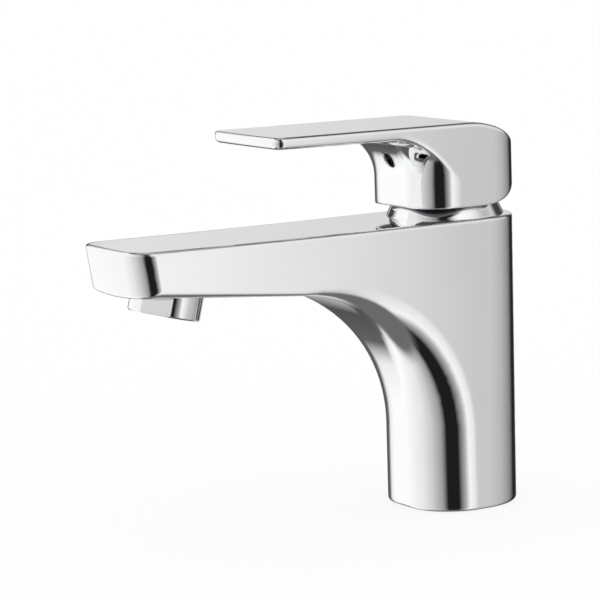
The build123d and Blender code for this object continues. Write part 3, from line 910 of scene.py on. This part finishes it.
@dataclass
class WhiteRoom:
    """Even white light, and what gloss shows above and below the tent.

    Attributes:
        fill: Light on surfaces without gloss, and the white behind the mixer.
        above: Light that gloss shows above the tent.
        below: Light that gloss shows under it.
        horizon: How far the change between them reaches up and down, as a share of the way up.
    """

    fill: float = 1.0
    above: float = 0.5
    below: float = 0.15
    horizon: float = 0.2

    def build(self) -> None:
        """Makes the room the world of the scene."""
        world = bpy.data.worlds.new("white_room")
        bpy.context.scene.world = world
        world.use_nodes = True
        tree = world.node_tree
        tree.nodes.clear()
        place = tree.nodes.new("ShaderNodeTexCoord")
        parts = tree.nodes.new("ShaderNodeSeparateXYZ")
        tree.links.new(place.outputs["Generated"], parts.inputs["Vector"])
        shade = tree.nodes.new("ShaderNodeMapRange")
        shade.inputs["From Min"].default_value = -self.horizon
        shade.inputs["From Max"].default_value = self.horizon
        shade.inputs["To Min"].default_value = self.below
        shade.inputs["To Max"].default_value = self.above
        tree.links.new(parts.outputs["Z"], shade.inputs["Value"])
        plain = tree.nodes.new("ShaderNodeBackground")
        plain.inputs["Color"].default_value = grey(1.0)
        plain.inputs["Strength"].default_value = self.fill
        gloss = tree.nodes.new("ShaderNodeBackground")
        gloss.inputs["Color"].default_value = grey(1.0)
        tree.links.new(shade.outputs["Result"], gloss.inputs["Strength"])
        path = tree.nodes.new("ShaderNodeLightPath")
        pick = tree.nodes.new("ShaderNodeMixShader")
        out = tree.nodes.new("ShaderNodeOutputWorld")
        tree.links.new(path.outputs["Is Glossy Ray"], pick.inputs["Fac"])
        tree.links.new(plain.outputs["Background"], pick.inputs[1])
        tree.links.new(gloss.outputs["Background"], pick.inputs[2])
        tree.links.new(pick.outputs["Shader"], out.inputs["Surface"])


@dataclass
class PaleFloor:
    """Pale floor that the mixer stands on.

    Attributes:
        half: Half side in metres.
        drop: How far it lies under the foot.
        colour: Grey of the floor.
        glow: Share of its own light that keeps it white.
    """

    half: float = 6.0
    drop: float = 0.2 * MM
    colour: float = 0.98
    glow: float = 0.82

    def build(self) -> None:
        """Lays the floor and hides it from glossy rays."""
        half = self.half
        corners = [(-half, -half, 0), (half, -half, 0), (half, half, 0), (-half, half, 0)]
        mesh = bpy.data.meshes.new("pale_floor")
        mesh.from_pydata(corners, [], [(0, 1, 2, 3)])
        mesh.materials.append(self.material())
        floor = bpy.data.objects.new("pale_floor", mesh)
        bpy.context.scene.collection.objects.link(floor)
        floor.location.z = -self.drop
        floor.visible_glossy = False

    def material(self) -> bpy.types.Material:
        """Builds the floor's white.

        Returns:
            The floor's material.
        """
        material = bpy.data.materials.new("pale_floor")
        material.use_nodes = True
        tree = material.node_tree
        tree.nodes.clear()
        matte = tree.nodes.new("ShaderNodeBsdfDiffuse")
        matte.inputs["Color"].default_value = grey(self.colour)
        glow = tree.nodes.new("ShaderNodeEmission")
        glow.inputs["Color"].default_value = grey(1.0)
        mix = tree.nodes.new("ShaderNodeMixShader")
        mix.inputs["Fac"].default_value = self.glow
        out = tree.nodes.new("ShaderNodeOutputMaterial")
        tree.links.new(matte.outputs["BSDF"], mix.inputs[1])
        tree.links.new(glow.outputs["Emission"], mix.inputs[2])
        tree.links.new(mix.outputs["Shader"], out.inputs["Surface"])
        return material


@dataclass
class PhotoCamera:
    """Camera at the viewing angle of the photo.

    Attributes:
        place_mm: Place of the lens.
        turn: Turn from the spout's direction, in radians.
        dip: Downward pitch in radians.
        roll: Roll of the picture in radians.
        focal_px: Focal length in pixels of the picture.
        picture_px: Width of the picture in pixels.
        sensor_mm: Width of the sensor.
        near_mm: Nearest distance that it shows.
    """

    place_mm: Spot = (881.76, -609.492, 244.231)
    turn: float = 1.017466
    dip: float = 0.154160
    roll: float = 0.034532
    focal_px: float = 2886.243
    picture_px: float = 600.0
    sensor_mm: float = 36.0
    near_mm: float = 10.0

    def build(self) -> None:
        """Adds the camera and makes it the scene's own."""
        level = math.cos(self.dip)
        ahead = Vector((-math.sin(self.turn) * level, math.cos(self.turn) * level, -math.sin(self.dip)))
        right = Vector((math.cos(self.turn), math.sin(self.turn), 0))
        up = right.cross(ahead)
        axis_x = right * math.cos(self.roll) - up * math.sin(self.roll)
        axis_y = right * math.sin(self.roll) + up * math.cos(self.roll)
        facing = Matrix((axis_x, axis_y, -ahead)).transposed().to_4x4()
        data = bpy.data.cameras.new("photo_camera")
        data.sensor_width = self.sensor_mm
        data.lens = self.focal_px * self.sensor_mm / self.picture_px
        data.clip_start = self.near_mm * MM
        camera = bpy.data.objects.new("photo_camera", data)
        bpy.context.scene.collection.objects.link(camera)
        camera.matrix_world = Matrix.Translation(Vector(self.place_mm) * MM) @ facing
        bpy.context.scene.camera = camera


def main() -> None:
    """Builds the studio and the camera, and dresses the mixer."""
    logging.basicConfig(level=logging.INFO)
    bpy.context.scene.view_settings.view_transform = "Standard"
    for stage in (WhiteRoom(), LightTent(), PaleFloor(), PhotoCamera()):
        stage.build()
    body = CastBody()
    body.build()
    for group in (body, Aerator(), Cartridge(), Collar(), LeverHandle()):
        group.dress()


if __name__ == "__main__":
    main()
